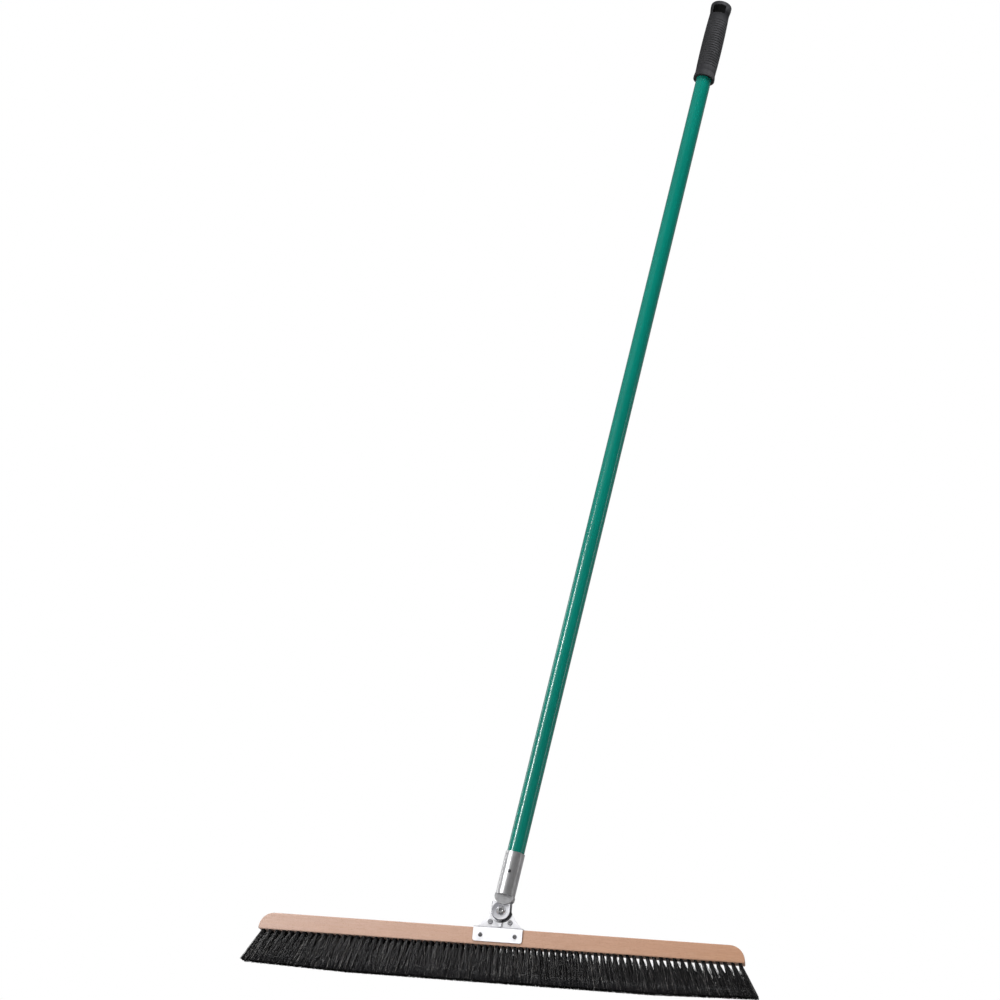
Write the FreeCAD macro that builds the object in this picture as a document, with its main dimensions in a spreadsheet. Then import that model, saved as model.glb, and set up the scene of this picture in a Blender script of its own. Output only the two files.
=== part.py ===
"""Push broom: a wooden block with three rows of bristles, a riveted sheet steel bracket, and a steel handle that
tilts sideways about a clamped bolt.

The origin is the middle of the bristle face on the floor. +X runs along the block, -Y is the side that the bolt's
head is on, and +Z is up. Lengths are in millimetres and angles in degrees.
"""
import FreeCAD, Part
import math
import os
import re

import Sketcher
from FreeCAD import Placement, Rotation, Vector

# The driving dimensions. Each one becomes a named cell of the sheet.
DRIVING_SIZES = {
    # Wooden block
    "block_length": 610,
    "block_depth": 25.4,
    "block_height": 20.6,
    "block_end_radius": 19,
    "block_edge_radius": 1,
    # Bristles: three rows of tufts that fan out towards the ends of the block
    "bristle_length": 43.3,
    "bristle_end_rise": 4,
    "bristle_flat_half": 190,
    "bristle_inner_gap": 0.6,
    "bristle_foot": 12.9,
    "bristle_middle_half": 4,
    "tuft_count": 75,
    "tuft_row_offset": 8,
    "tuft_diameter": 4.5,
    "tuft_fan_half": 299,
    "tuft_fan_angle": 26,
    "tuft_splay_angle": 1.5,
    "tuft_hole_diameter": 4.7,
    "tuft_hole_depth": 8.5,
    "tuft_root_depth": 6.5,
    "drill_run_in": 2,
    "anchor_width": 4.2,
    "anchor_height": 1.4,
    "anchor_thickness": 0.5,
    "anchor_gap": 0.3,
    # Bracket: two stamped halves
    "sheet": 1.5,
    "plate_width": 62,
    "plate_height": 18.6,
    "plate_corner": 3,
    "bend_radius": 2,
    "neck_bend_radius": 1,
    "neck_base_half": 28,
    "neck_base_height": 2.2,
    "neck_curve_radius": 50,
    "bolt_above_ledge": 22.3,
    "eye_radius": 12.8,
    "eye_depth": 5.1,
    "eye_side_height": 11.7,
    "eye_draft": 18,
    "bead_width": 4.4,
    "bead_height": 8.4,
    "bead_depth": 1.4,
    # Fasteners of the head
    "rivet_spacing": 25,
    "rivet_above_ledge": 8.4,
    "rivet_shank": 4,
    "rivet_head": 6.3,
    "rivet_head_height": 1.1,
    "rivet_dimple": 2.4,
    "rivet_dimple_depth": 0.6,
    "screw_spacing": 43.2,
    "screw_below_ledge": 10.8,
    "screw_shank": 3.4,
    "screw_length": 10,
    "screw_head": 5.4,
    "screw_head_height": 1.6,
    "screw_slot_width": 0.9,
    "screw_slot_depth": 0.8,
    "screw_hole_run_out": 1.5,
    # Pivot
    "bolt_shank": 6,
    "bolt_clearance": 0.4,
    "bolt_head": 11.6,
    "bolt_head_height": 3.6,
    "bolt_head_rim": 0.8,
    "bolt_crown": 5.6,
    "bolt_crown_radius": 5.5,
    "bolt_recess": 4.5,
    "bolt_recess_depth": 2,
    "bolt_tail": 15,
    "washer_outer": 12,
    "washer_thickness": 1.2,
    "spring_washer_outer": 11,
    "spring_washer_thickness": 1.6,
    "spring_washer_gap": 1.5,
    "nut_flats": 10,
    "nut_height": 5,
    "bush_outer": 8,
    "bush_bore": 6.1,
    "pivot_running_gap": 0.06,
    "friction_washer_outer": 14,
    "friction_washer_thickness": 0.7,
    # Socket foot, measured up the handle from the bolt
    "handle_lean": 8.4,
    "tongue_thickness": 5.6,
    "tongue_half_width": 4.5,
    "tongue_eye_radius": 7.2,
    "foot_width": 24,
    "foot_thickness": 14.6,
    "foot_slot": 11,
    "foot_roof_radius": 17.8,
    "lip_side": 15.5,
    "lip_low": 7.8,
    "lip_edge_radius": 0.5,
    "sleeve_start": 20,
    "sleeve_end": 75,
    "sleeve_outer": 24.7,
    "sleeve_wall": 1.2,
    "tube_start": 24,
    "tube_end": 1351,
    "tube_outer": 22.2,
    "tube_wall": 0.9,
    "spigot_end": 57,
    "cross_rivet_at": 49.5,
    "cross_rivet_shank": 3,
    "cross_rivet_head": 4.2,
    "cross_rivet_head_height": 0.9,
    # Grip
    "grip_start": 1247.7,
    "grip_end": 1379,
    "grip_foot_radius": 14.75,
    "grip_neck_radius": 14.3,
    "grip_neck_at": 1363,
    "grip_belly_curve": 1350,
    "grip_head_radius": 15.4,
    "grip_head_at": 1372,
    "grip_rim_radius": 15.7,
    "grip_rim_height": 3,
    "grip_flare_height": 10,
    "grip_edge_radius": 2,
    "grip_bore_gap": 0.05,
    "rib_count": 20,
    "rib_first": 1267,
    "rib_pitch": 4.15,
    "rib_groove_width": 1.9,
    "rib_groove_floor": 14.4,
    "rib_groove_mouth": 16,
    "slot_width": 18.4,
    "slot_height": 14,
    "slot_centre": 1365.5,
    "slot_corner": 2,
}

# Sizes worked out from the driving ones, each a formula of the same sheet.
WORKED_OUT = {
    "block_top": "bristle_length + block_height",
    "ledge_top": "block_top + sheet",
    "bolt_height": "ledge_top + bolt_above_ledge",
    "cheek_inside": "eye_depth - sheet",
    "sleeve_inner": "sleeve_outer - 2 * sleeve_wall",
    "tube_inner": "tube_outer - 2 * tube_wall",
    "rivet_height": "ledge_top + rivet_above_ledge",
    "screw_height": "ledge_top - screw_below_ledge",
    "lip_radius": "(foot_width^2 / 4 + (lip_side - lip_low)^2) / (2 * (lip_side - lip_low))",
}

doc = FreeCAD.newDocument("PushBroom")
sheet = doc.addObject("Spreadsheet::Sheet", "Sizes")
for row, (alias, number) in enumerate(DRIVING_SIZES.items(), start=1):
    sheet.set(f"A{row}", str(number))
    sheet.setAlias(f"A{row}", alias)
for row, (alias, formula) in enumerate(WORKED_OUT.items(), start=1):
    sheet.set(f"B{row}", f"={formula}")
    sheet.setAlias(f"B{row}", alias)
doc.recompute()

parts = []


def size(alias):
    """The number that the sheet holds under this name."""
    return float(sheet.get(alias))


def bound(formula):
    """The same formula with every sheet name written as another object has to write it."""
    def named(word):
        return f"Sizes.{word[0]}" if word[0] in DRIVING_SIZES or word[0] in WORKED_OUT else word[0]
    return re.sub(r"[a-z_]+", named, formula)


# ---------------------------------------------------------------- sketches and features

def new_body(label):
    body = doc.addObject("PartDesign::Body", label)
    body.Label = label
    return body


def origin_feature(body, role):
    """One of the body's own origin planes or axes."""
    return next(item for item in body.Origin.OriginFeatures if item.Role == role)


def new_sketch(body, plane, lift=None, turn=0):
    """A sketch on an origin plane of the body, lifted off it by a formula and turned in its own plane."""
    sketch = body.newObject("Sketcher::SketchObject", body.Label + "_sketch")
    sketch.AttachmentSupport = [(origin_feature(body, plane), "")]
    sketch.MapMode = "FlatFace"
    sketch.AttachmentOffset = Placement(Vector(0, 0, 0), Rotation(Vector(0, 0, 1), turn))
    if lift:
        sketch.setExpression("AttachmentOffset.Base.z", bound(lift))
    return sketch


def constrain(sketch, kind, *where, formula):
    """A dimension of a sketch, bound to a formula."""
    number = float(sketch.evalExpression(bound(formula)))
    index = sketch.addConstraint(Sketcher.Constraint(kind, *where, number))
    sketch.setExpression(f"Constraints[{index}]", bound(formula))


def minor_arc(start, end, radius, side):
    """The minor arc between two points that bulges left (+1) or right (-1) of the line from start to end."""
    chord = end - start
    left = Vector(-chord.y, chord.x, 0).normalize()
    centre = (start + end) / 2 - left * (side * math.sqrt(max(radius**2 - chord.Length**2 / 4, 0)))
    first, last = (end, start) if side > 0 else (start, end)
    angles = [math.atan2(point.y - centre.y, point.x - centre.x) for point in (first, last)]
    if angles[1] < angles[0]:
        angles[1] += 2 * math.pi
    return Part.ArcOfCircle(Part.Circle(centre, Vector(0, 0, 1), radius), *angles)


def outline(sketch, *corners):
    """A closed outline. A corner is (x, y), or (x, y, radius, side) where an arc leads to the next corner."""
    places = [Vector(*(float(sketch.evalExpression(bound(c))) for c in corner[:2]), 0) for corner in corners]
    first = sketch.GeometryCount
    ends = []
    for index, corner in enumerate(corners):
        start = places[index]
        end = places[(index + 1) % len(corners)]
        if len(corner) == 2:
            sketch.addGeometry(Part.LineSegment(start, end))
            ends.append((1, 2))
        else:
            radius = float(sketch.evalExpression(bound(corner[2])))
            sketch.addGeometry(minor_arc(start, end, radius, corner[3]))
            ends.append((2, 1) if corner[3] > 0 else (1, 2))
    for index, corner in enumerate(corners):
        after = (index + 1) % len(corners)
        joined = (first + index, ends[index][1], first + after, ends[after][0])
        sketch.addConstraint(Sketcher.Constraint("Coincident", *joined))
        constrain(sketch, "DistanceX", -1, 1, first + index, ends[index][0], formula=corner[0])
        constrain(sketch, "DistanceY", -1, 1, first + index, ends[index][0], formula=corner[1])
        if len(corner) == 4:
            constrain(sketch, "Radius", first + index, formula=corner[2])


def circle(sketch, x, y, diameter):
    """A circle whose centre and diameter are formulas."""
    numbers = [float(sketch.evalExpression(bound(value))) for value in (x, y, diameter)]
    index = sketch.addGeometry(Part.Circle(Vector(numbers[0], numbers[1], 0), Vector(0, 0, 1), numbers[2] / 2))
    constrain(sketch, "DistanceX", -1, 1, index, 3, formula=x)
    constrain(sketch, "DistanceY", -1, 1, index, 3, formula=y)
    constrain(sketch, "Diameter", index, formula=diameter)


def extrude(body, sketch, kind, length, reverse=False, both_ways=False, draft=None):
    """A pad or a pocket whose length is a formula. A pocket that removes nothing is an error."""
    before = body.Shape.Volume if body.Tip else 0
    feature = body.newObject(f"PartDesign::{kind}", f"{body.Label}_{kind.lower()}")
    feature.Profile = sketch
    feature.setExpression("Length", bound(length))
    feature.Reversed = reverse
    feature.SideType = "Symmetric" if both_ways else "One side"
    if draft:
        feature.setExpression("TaperAngle", bound(draft))
    doc.recompute()
    if kind == "Pocket" and not body.Shape.Volume < before - 1e-3:
        raise RuntimeError(f"{feature.Name} cuts nothing")
    return feature


def revolve(body, sketch, kind="Revolution"):
    """A full turn about the sketch's own upright axis."""
    feature = body.newObject(f"PartDesign::{kind}", f"{body.Label}_{kind.lower()}")
    feature.Profile = sketch
    feature.ReferenceAxis = (sketch, ["V_Axis"])
    feature.Angle = 360
    return feature


def fillet(body, radius, wanted):
    """Rounds the edges of the body that the test picks."""
    doc.recompute()
    tip = body.Tip
    names = [f"Edge{n}" for n, edge in enumerate(tip.Shape.Edges, start=1) if wanted(edge)]
    feature = body.newObject("PartDesign::Fillet", f"{body.Label}_fillet")
    feature.Base = (tip, names)
    feature.setExpression("Radius", bound(radius))
    doc.recompute()


def on_handle(item):
    """Places a piece that is drawn about an upright handle: its origin goes to the bolt, then it leans."""
    item.Placement = Placement(Vector(0, 0, size("bolt_height")), Rotation(Vector(0, 1, 0), size("handle_lean")))
    item.setExpression("Placement.Base.z", bound("bolt_height"))
    item.setExpression("Placement.Rotation.Angle", bound("handle_lean"))


def at_height(item, formula, x="0", turned=False):
    """Places a piece that is drawn about its own axis, turned half round Z if it belongs on the back."""
    item.Placement = Placement(Vector(0, 0, 0), Rotation(Vector(0, 0, 1), 180 if turned else 0))
    item.setExpression("Placement.Base.x", bound(x))
    item.setExpression("Placement.Base.z", bound(formula))


def finished(item, label=None):
    """Marks an object as one sub-part of the broom."""
    if label:
        item.Label = label
    parts.append(item)


def finished_group(label, members):
    """Several identical pieces that share one node."""
    group = doc.addObject("Part::Compound", label)
    group.Links = members
    finished(group, label)


# ---------------------------------------------------------------- wooden block and its tufts

def tufts():
    """Each tuft's root on the block's underside, the unit vector down it, and its row (-1 front, 0, +1 back)."""
    count = int(size("tuft_count"))
    fan = math.radians(size("tuft_fan_angle"))
    fan_radius = size("tuft_fan_half") / math.tan(fan)
    splay = math.tan(math.radians(size("tuft_splay_angle")))
    for side in (-1, 0, 1):
        for index in range(count):
            lean = fan * (2 * index / (count - 1) - 1)
            root = Vector(fan_radius * math.tan(lean), side * size("tuft_row_offset"), size("bristle_length"))
            yield root, Vector(math.tan(lean), side * splay, -1).normalize(), side


def make_block():
    """One piece of hardwood with rounded top corners, drilled for the tufts and for the bracket's screws."""
    blank = new_body("block_blank")
    profile = new_sketch(blank, "XZ_Plane")
    outline(
        profile,
        ("-block_length / 2", "bristle_length"),
        ("block_length / 2", "bristle_length"),
        ("block_length / 2", "block_top - block_end_radius", "block_end_radius", -1),
        ("block_length / 2 - block_end_radius", "block_top"),
        ("block_end_radius - block_length / 2", "block_top", "block_end_radius", -1),
        ("-block_length / 2", "block_top - block_end_radius"),
    )
    extrude(blank, profile, "Pad", "block_depth", both_ways=True)
    half_depth = size("block_depth") / 2
    fillet(blank, "block_edge_radius", lambda edge: all(abs(abs(v.Y) - half_depth) < 1e-6 for v in edge.Vertexes))

    drills = []
    hole_radius = size("tuft_hole_diameter") / 2
    hole_depth = size("tuft_hole_depth")
    run_in = size("drill_run_in")
    for root, down, _ in tufts():
        drills.append(Part.makeCylinder(hole_radius, hole_depth + run_in, root + down * run_in, down * -1))
    screw_radius = size("screw_shank") / 2
    for x in (-1, 1):
        for y in (-1, 1):
            mouth = Vector(x * size("screw_spacing") / 2, y * (half_depth + size("sheet")), size("screw_height"))
            length = size("screw_length") + size("screw_hole_run_out")
            drills.append(Part.makeCylinder(screw_radius, length, mouth, Vector(0, -y, 0)))
    drill = doc.addObject("Part::Feature", "block_drill")
    drill.Shape = Part.Compound(drills)
    block = doc.addObject("Part::Cut", "wood_block")
    block.Base = blank
    block.Tool = drill
    finished(block)


def make_tuft_row(label, side):
    """One row of bristles: the spread of fibres under the block, with a root in each drilled hole."""
    middle = size("bristle_middle_half")
    inner, foot = middle + size("bristle_inner_gap"), size("bristle_foot")
    row = size("tuft_row_offset")
    radius = size("tuft_diameter") / 2
    top = size("bristle_length")
    if side:
        spread = [(side * inner, 0), (side * foot, 0), (side * (row + radius), top), (side * (row - radius), top)]
    else:
        spread = [(-middle, 0), (middle, 0), (radius, top), (-radius, top)]
    section = [Vector(-size("block_length"), y, z) for y, z in spread]
    slab = Part.Face(Part.makePolygon([*section, section[0]])).extrude(Vector(2 * size("block_length"), 0, 0))

    lean = math.tan(math.radians(size("tuft_fan_angle")))
    rise = size("bristle_end_rise")
    half_top = size("tuft_fan_half") + radius
    half_foot = half_top + lean * (top - rise)
    flat = size("bristle_flat_half")
    face = [(-half_top, top), (half_top, top), (half_foot, rise), (flat, 0), (-flat, 0), (-half_foot, rise)]
    corners = [Vector(x, -size("block_depth"), z) for x, z in face]
    fan = Part.Face(Part.makePolygon([*corners, corners[0]])).extrude(Vector(0, 2 * size("block_depth"), 0))

    roots = []
    run_in = size("drill_run_in")
    for root, down, own_side in tufts():
        if own_side == side:
            length = size("tuft_root_depth") + run_in
            roots.append(Part.makeCylinder(radius, length, root + down * run_in, down * -1))
    tuft_row = doc.addObject("Part::Feature", label)
    tuft_row.Shape = slab.common(fan).multiFuse(roots).removeSplitter()
    finished(tuft_row, label)


def make_tuft_anchors():
    """The flat wire anchor that is driven into each hole to hold its folded tuft."""
    anchors = []
    for root, down, _ in tufts():
        anchor = Part.makeBox(size("anchor_width"), size("anchor_thickness"), size("anchor_height"))
        anchor.translate(Vector(-size("anchor_width") / 2, -size("anchor_thickness") / 2, 0))
        turn = Rotation(Vector(0, 0, 1), down * -1)
        seat = root - down * (size("tuft_root_depth") + size("anchor_gap"))
        anchor.Placement = Placement(seat, turn) * anchor.Placement
        anchors.append(anchor)
    group = doc.addObject("Part::Feature", "tuft_anchors")
    group.Shape = Part.Compound(anchors)
    finished(group, "tuft_anchors")


# ---------------------------------------------------------------- bracket

def make_bracket_half(label, turned):
    """One stamped half: a plate on the block's face, a ledge over it, and a neck with a pocket for the tongue."""
    half = new_body(label)

    bend = new_sketch(half, "YZ_Plane")
    outline(
        bend,
        ("0", "block_top"),
        ("0", "ledge_top + neck_bend_radius"),
        ("-sheet", "ledge_top + neck_bend_radius", "neck_bend_radius", 1),
        ("-sheet - neck_bend_radius", "ledge_top"),
        ("bend_radius - block_depth / 2 - sheet", "ledge_top", "bend_radius", -1),
        ("-block_depth / 2 - sheet", "ledge_top - bend_radius"),
        ("-block_depth / 2 - sheet", "ledge_top - plate_height"),
        ("-block_depth / 2", "ledge_top - plate_height"),
        ("-block_depth / 2", "block_top"),
    )
    extrude(half, bend, "Pad", "plate_width", both_ways=True)
    low = size("ledge_top") - size("plate_height")
    fillet(half, "plate_corner", lambda edge: edge.Length < size("sheet") + 0.1
           and all(abs(v.Z - low) < 1e-6 for v in edge.Vertexes))

    neck = new_sketch(half, "XZ_Plane")
    outline(
        neck,
        ("-plate_width / 2", "block_top"),
        ("plate_width / 2", "block_top"),
        ("plate_width / 2", "ledge_top + neck_bend_radius"),
        ("neck_base_half", "ledge_top + neck_base_height", "neck_curve_radius", 1),
        ("eye_radius", "bolt_height"),
        ("eye_radius", "bolt_height + eye_side_height"),
        ("-eye_radius", "bolt_height + eye_side_height"),
        ("-eye_radius", "bolt_height", "neck_curve_radius", 1),
        ("-neck_base_half", "ledge_top + neck_base_height"),
        ("-plate_width / 2", "ledge_top + neck_bend_radius"),
    )
    extrude(half, neck, "Pad", "sheet")

    def eye_outline(inset):
        """A U about the bolt, open at the top, inset by a formula."""
        eye = new_sketch(half, "XZ_Plane")
        radius = f"eye_radius - {inset}"
        outline(
            eye,
            (f"-({radius})", "bolt_height", radius, -1),
            ("0", f"bolt_height - ({radius})", radius, -1),
            (radius, "bolt_height"),
            (radius, "bolt_height + 2 * eye_side_height"),
            (f"-({radius})", "bolt_height + 2 * eye_side_height"),
        )
        return eye

    extrude(half, eye_outline("0"), "Pad", "eye_depth", draft="-eye_draft")
    extrude(half, eye_outline("sheet"), "Pocket", "cheek_inside", reverse=True, draft="-eye_draft")
    above = new_sketch(half, "XZ_Plane")
    outline(
        above,
        ("-2 * eye_radius", "bolt_height + eye_side_height"),
        ("2 * eye_radius", "bolt_height + eye_side_height"),
        ("2 * eye_radius", "bolt_height + 3 * eye_side_height"),
        ("-2 * eye_radius", "bolt_height + 3 * eye_side_height"),
    )
    extrude(half, above, "Pocket", "2 * eye_depth", reverse=True)

    bead = new_sketch(half, "XZ_Plane")
    outline(
        bead,
        ("-bead_width / 2", "ledge_top + neck_base_height"),
        ("bead_width / 2", "ledge_top + neck_base_height"),
        ("bead_width / 2", "ledge_top + neck_base_height + bead_height"),
        ("-bead_width / 2", "ledge_top + neck_base_height + bead_height"),
    )
    extrude(half, bead, "Pad", "sheet + bead_depth")

    holes = new_sketch(half, "XZ_Plane")
    circle(holes, "0", "bolt_height", "bolt_shank + bolt_clearance")
    circle(holes, "-rivet_spacing / 2", "rivet_height", "rivet_shank")
    circle(holes, "rivet_spacing / 2", "rivet_height", "rivet_shank")
    circle(holes, "-screw_spacing / 2", "screw_height", "screw_shank")
    circle(holes, "screw_spacing / 2", "screw_height", "screw_shank")
    extrude(half, holes, "Pocket", "block_depth", reverse=True)
    at_height(half, "0", turned=turned)
    finished(half)


# ---------------------------------------------------------------- fasteners of the head

def make_neck_rivet(label):
    """A rivet through both necks, flat headed and dimpled at both ends."""
    rivet = new_body(label)
    profile = new_sketch(rivet, "XY_Plane")
    outline(
        profile,
        ("0", "-sheet - rivet_head_height + rivet_dimple_depth"),
        ("rivet_dimple / 2", "-sheet - rivet_head_height + rivet_dimple_depth"),
        ("rivet_dimple / 2", "-sheet - rivet_head_height"),
        ("rivet_head / 2 - rivet_head_height / 2", "-sheet - rivet_head_height"),
        ("rivet_head / 2", "-sheet - rivet_head_height / 2"),
        ("rivet_head / 2", "-sheet"),
        ("rivet_shank / 2", "-sheet"),
        ("rivet_shank / 2", "sheet"),
        ("rivet_head / 2", "sheet"),
        ("rivet_head / 2", "sheet + rivet_head_height / 2"),
        ("rivet_head / 2 - rivet_head_height / 2", "sheet + rivet_head_height"),
        ("rivet_dimple / 2", "sheet + rivet_head_height"),
        ("rivet_dimple / 2", "sheet + rivet_head_height - rivet_dimple_depth"),
        ("0", "sheet + rivet_head_height - rivet_dimple_depth"),
    )
    revolve(rivet, profile)
    return rivet


def make_plate_screw(label, slot_turn):
    """A round headed wood screw with a straight slot, its head against the plate."""
    screw = new_body(label)
    profile = new_sketch(screw, "XY_Plane")
    outline(
        profile,
        ("0", "-block_depth / 2 - sheet - screw_head_height"),
        ("screw_head / 4", "-block_depth / 2 - sheet - screw_head_height", "screw_head_height", -1),
        ("screw_head / 2", "-block_depth / 2 - sheet"),
        ("screw_shank / 2", "-block_depth / 2 - sheet"),
        ("screw_shank / 2", "screw_shank / 2 - block_depth / 2 - sheet + screw_length - screw_shank"),
        ("0", "screw_length - block_depth / 2 - sheet"),
    )
    revolve(screw, profile)
    doc.recompute()
    slot = new_sketch(screw, "XZ_Plane", lift="block_depth / 2 + sheet + screw_head_height - screw_slot_depth",
                      turn=slot_turn)
    outline(
        slot,
        ("-screw_head", "-screw_slot_width / 2"),
        ("screw_head", "-screw_slot_width / 2"),
        ("screw_head", "screw_slot_width / 2"),
        ("-screw_head", "screw_slot_width / 2"),
    )
    extrude(screw, slot, "Pocket", "screw_head_height", reverse=True)
    return screw


# How far the slot of each side's screws stopped from level, in degrees.
SCREW_SLOT_TURNS = {"left": 45, "right": 30}


def make_head_fasteners():
    """Two rivets through both necks, and two wood screws through each half's plate into the block."""
    rivets = []
    front_screws = []
    back_screws = []
    for name, sign in (("left", "-"), ("right", "")):
        rivet = make_neck_rivet(f"{name}_neck_rivet")
        at_height(rivet, "rivet_height", x=f"{sign}rivet_spacing / 2")
        rivets.append(rivet)
        for group, side, turned in ((front_screws, "front", False), (back_screws, "back", True)):
            screw = make_plate_screw(f"{name}_{side}_screw", SCREW_SLOT_TURNS[name])
            at_height(screw, "screw_height", x=f"{sign}screw_spacing / 2", turned=turned)
            group.append(screw)
    finished_group("neck_rivets", rivets)
    finished_group("front_screws", front_screws)
    finished_group("back_screws", back_screws)


# ---------------------------------------------------------------- pivot

def make_pivot_bolt():
    """A domed bolt with a hexagon recess, through both cheeks of the eye."""
    bolt = new_body("pivot_bolt")
    profile = new_sketch(bolt, "XY_Plane")
    outline(
        profile,
        ("0", "-eye_depth - bolt_head_height"),
        ("bolt_crown / 2", "-eye_depth - bolt_head_height", "bolt_crown_radius", -1),
        ("bolt_head / 2", "-eye_depth - bolt_head_rim"),
        ("bolt_head / 2", "-eye_depth"),
        ("bolt_shank / 2", "-eye_depth"),
        ("bolt_shank / 2", "bolt_tail - bolt_shank / 8"),
        ("3 * bolt_shank / 8", "bolt_tail"),
        ("0", "bolt_tail"),
    )
    revolve(bolt, profile)
    doc.recompute()
    recess = new_sketch(bolt, "XZ_Plane", lift="eye_depth + bolt_head_height - bolt_recess_depth")
    hexagon(recess, "bolt_recess")
    extrude(bolt, recess, "Pocket", "2 * bolt_recess_depth", reverse=True)
    at_height(bolt, "bolt_height")
    finished(bolt)


def hexagon(sketch, flats):
    """A regular hexagon about the sketch's origin, given across its flats."""
    half = f"{flats} / 2"
    reach = f"{flats} / sqrt(3)"
    outline(
        sketch,
        (reach, "0"),
        (f"{reach} / 2", half),
        (f"-{reach} / 2", half),
        (f"-{reach}", "0"),
        (f"-{reach} / 2", f"-{half}"),
        (f"{reach} / 2", f"-{half}"),
    )


def make_ring(label, inner, outer, near, far):
    """A plain ring about the bolt, from one distance behind the middle plane to another."""
    ring = new_body(label)
    profile = new_sketch(ring, "XY_Plane")
    outline(
        profile,
        (f"({inner}) / 2", near),
        (f"({outer}) / 2", near),
        (f"({outer}) / 2", far),
        (f"({inner}) / 2", far),
    )
    revolve(ring, profile)
    at_height(ring, "bolt_height")
    return ring


def make_pivot_stack():
    """What the bolt clamps: the bush that the tongue turns on, its two fibre washers, and the nut's washers."""
    finished(make_ring("pivot_bush", "bush_bore", "bush_outer", "-cheek_inside", "cheek_inside"))
    bore = "bush_outer + 2 * pivot_running_gap"
    front = make_ring("front_friction_washer", bore, "friction_washer_outer",
                      "-cheek_inside", "friction_washer_thickness - cheek_inside")
    back = make_ring("back_friction_washer", bore, "friction_washer_outer",
                     "cheek_inside - friction_washer_thickness", "cheek_inside")
    finished_group("friction_washers", [front, back])
    hole = "bolt_shank + bolt_clearance"
    flat = "eye_depth + washer_thickness"
    finished(make_ring("pivot_washer", hole, "washer_outer", "eye_depth", flat))

    spring = make_ring("spring_washer", hole, "spring_washer_outer", flat, f"{flat} + spring_washer_thickness")
    doc.recompute()
    gap = new_sketch(spring, "XZ_Plane")
    outline(
        gap,
        ("-spring_washer_gap / 2", "0"),
        ("spring_washer_gap / 2", "0"),
        ("spring_washer_gap / 2", "spring_washer_outer"),
        ("-spring_washer_gap / 2", "spring_washer_outer"),
    )
    extrude(spring, gap, "Pocket", "bolt_tail")
    finished(spring)

    nut = new_body("pivot_nut")
    across = new_sketch(nut, "XZ_Plane", lift=f"-({flat} + spring_washer_thickness)")
    hexagon(across, "nut_flats")
    circle(across, "0", "0", "bolt_shank")
    extrude(nut, across, "Pad", "nut_height", reverse=True)
    at_height(nut, "bolt_height")
    finished(nut)


# ---------------------------------------------------------------- handle

def make_socket_foot():
    """The cast foot of the handle: a spigot, two rounded lips outside the eye, and a tongue inside it."""
    foot = new_body("socket_foot")
    lips = new_sketch(foot, "XZ_Plane")
    outline(
        lips,
        ("-foot_width / 2", "sleeve_start"),
        ("-foot_width / 2", "lip_side", "lip_radius", -1),
        ("0", "lip_low", "lip_radius", -1),
        ("foot_width / 2", "lip_side"),
        ("foot_width / 2", "sleeve_start"),
    )
    extrude(foot, lips, "Pad", "foot_thickness", both_ways=True)
    roof = new_sketch(foot, "XZ_Plane")
    circle(roof, "0", "0", "2 * foot_roof_radius")
    extrude(foot, roof, "Pocket", "foot_slot", both_ways=True)

    tongue = new_sketch(foot, "XZ_Plane")
    shoulder = "-sqrt(tongue_eye_radius^2 - tongue_half_width^2)"
    outline(
        tongue,
        ("-tongue_half_width", "sleeve_start"),
        ("-tongue_half_width", f"-({shoulder})", "tongue_eye_radius", -1),
        ("-tongue_eye_radius", "0", "tongue_eye_radius", -1),
        ("0", "-tongue_eye_radius", "tongue_eye_radius", -1),
        ("tongue_eye_radius", "0", "tongue_eye_radius", -1),
        ("tongue_half_width", f"-({shoulder})"),
        ("tongue_half_width", "sleeve_start"),
    )
    extrude(foot, tongue, "Pad", "tongue_thickness", both_ways=True)

    collar = new_sketch(foot, "XY_Plane", lift="sleeve_start")
    circle(collar, "0", "0", "tube_outer")
    extrude(foot, collar, "Pad", "tube_start - sleeve_start")
    spigot = new_sketch(foot, "XY_Plane", lift="tube_start")
    circle(spigot, "0", "0", "tube_inner")
    extrude(foot, spigot, "Pad", "spigot_end - tube_start")

    bores = new_sketch(foot, "XZ_Plane")
    circle(bores, "0", "0", "bush_outer + 2 * pivot_running_gap")
    circle(bores, "0", "cross_rivet_at", "cross_rivet_shank")
    extrude(foot, bores, "Pocket", "2 * foot_thickness + sleeve_outer", both_ways=True)
    half = size("foot_thickness") / 2
    fillet(foot, "lip_edge_radius", lambda edge: edge.BoundBox.ZMax < size("sleeve_start") - 0.1
           and all(abs(abs(v.Y) - half) < 1e-6 for v in edge.Vertexes))
    on_handle(foot)
    finished(foot)


def make_handle_tube(label, inner, outer, start, end):
    """A round tube along the handle with the cross rivet's hole through both walls."""
    tube = new_body(label)
    profile = new_sketch(tube, "XZ_Plane")
    outline(
        profile,
        (f"{inner} / 2", start),
        (f"{outer} / 2", start),
        (f"{outer} / 2", end),
        (f"{inner} / 2", end),
    )
    revolve(tube, profile)
    doc.recompute()
    hole = new_sketch(tube, "XZ_Plane")
    circle(hole, "0", "cross_rivet_at", "cross_rivet_shank")
    extrude(tube, hole, "Pocket", "2 * sleeve_outer", both_ways=True)
    on_handle(tube)
    finished(tube)


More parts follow.
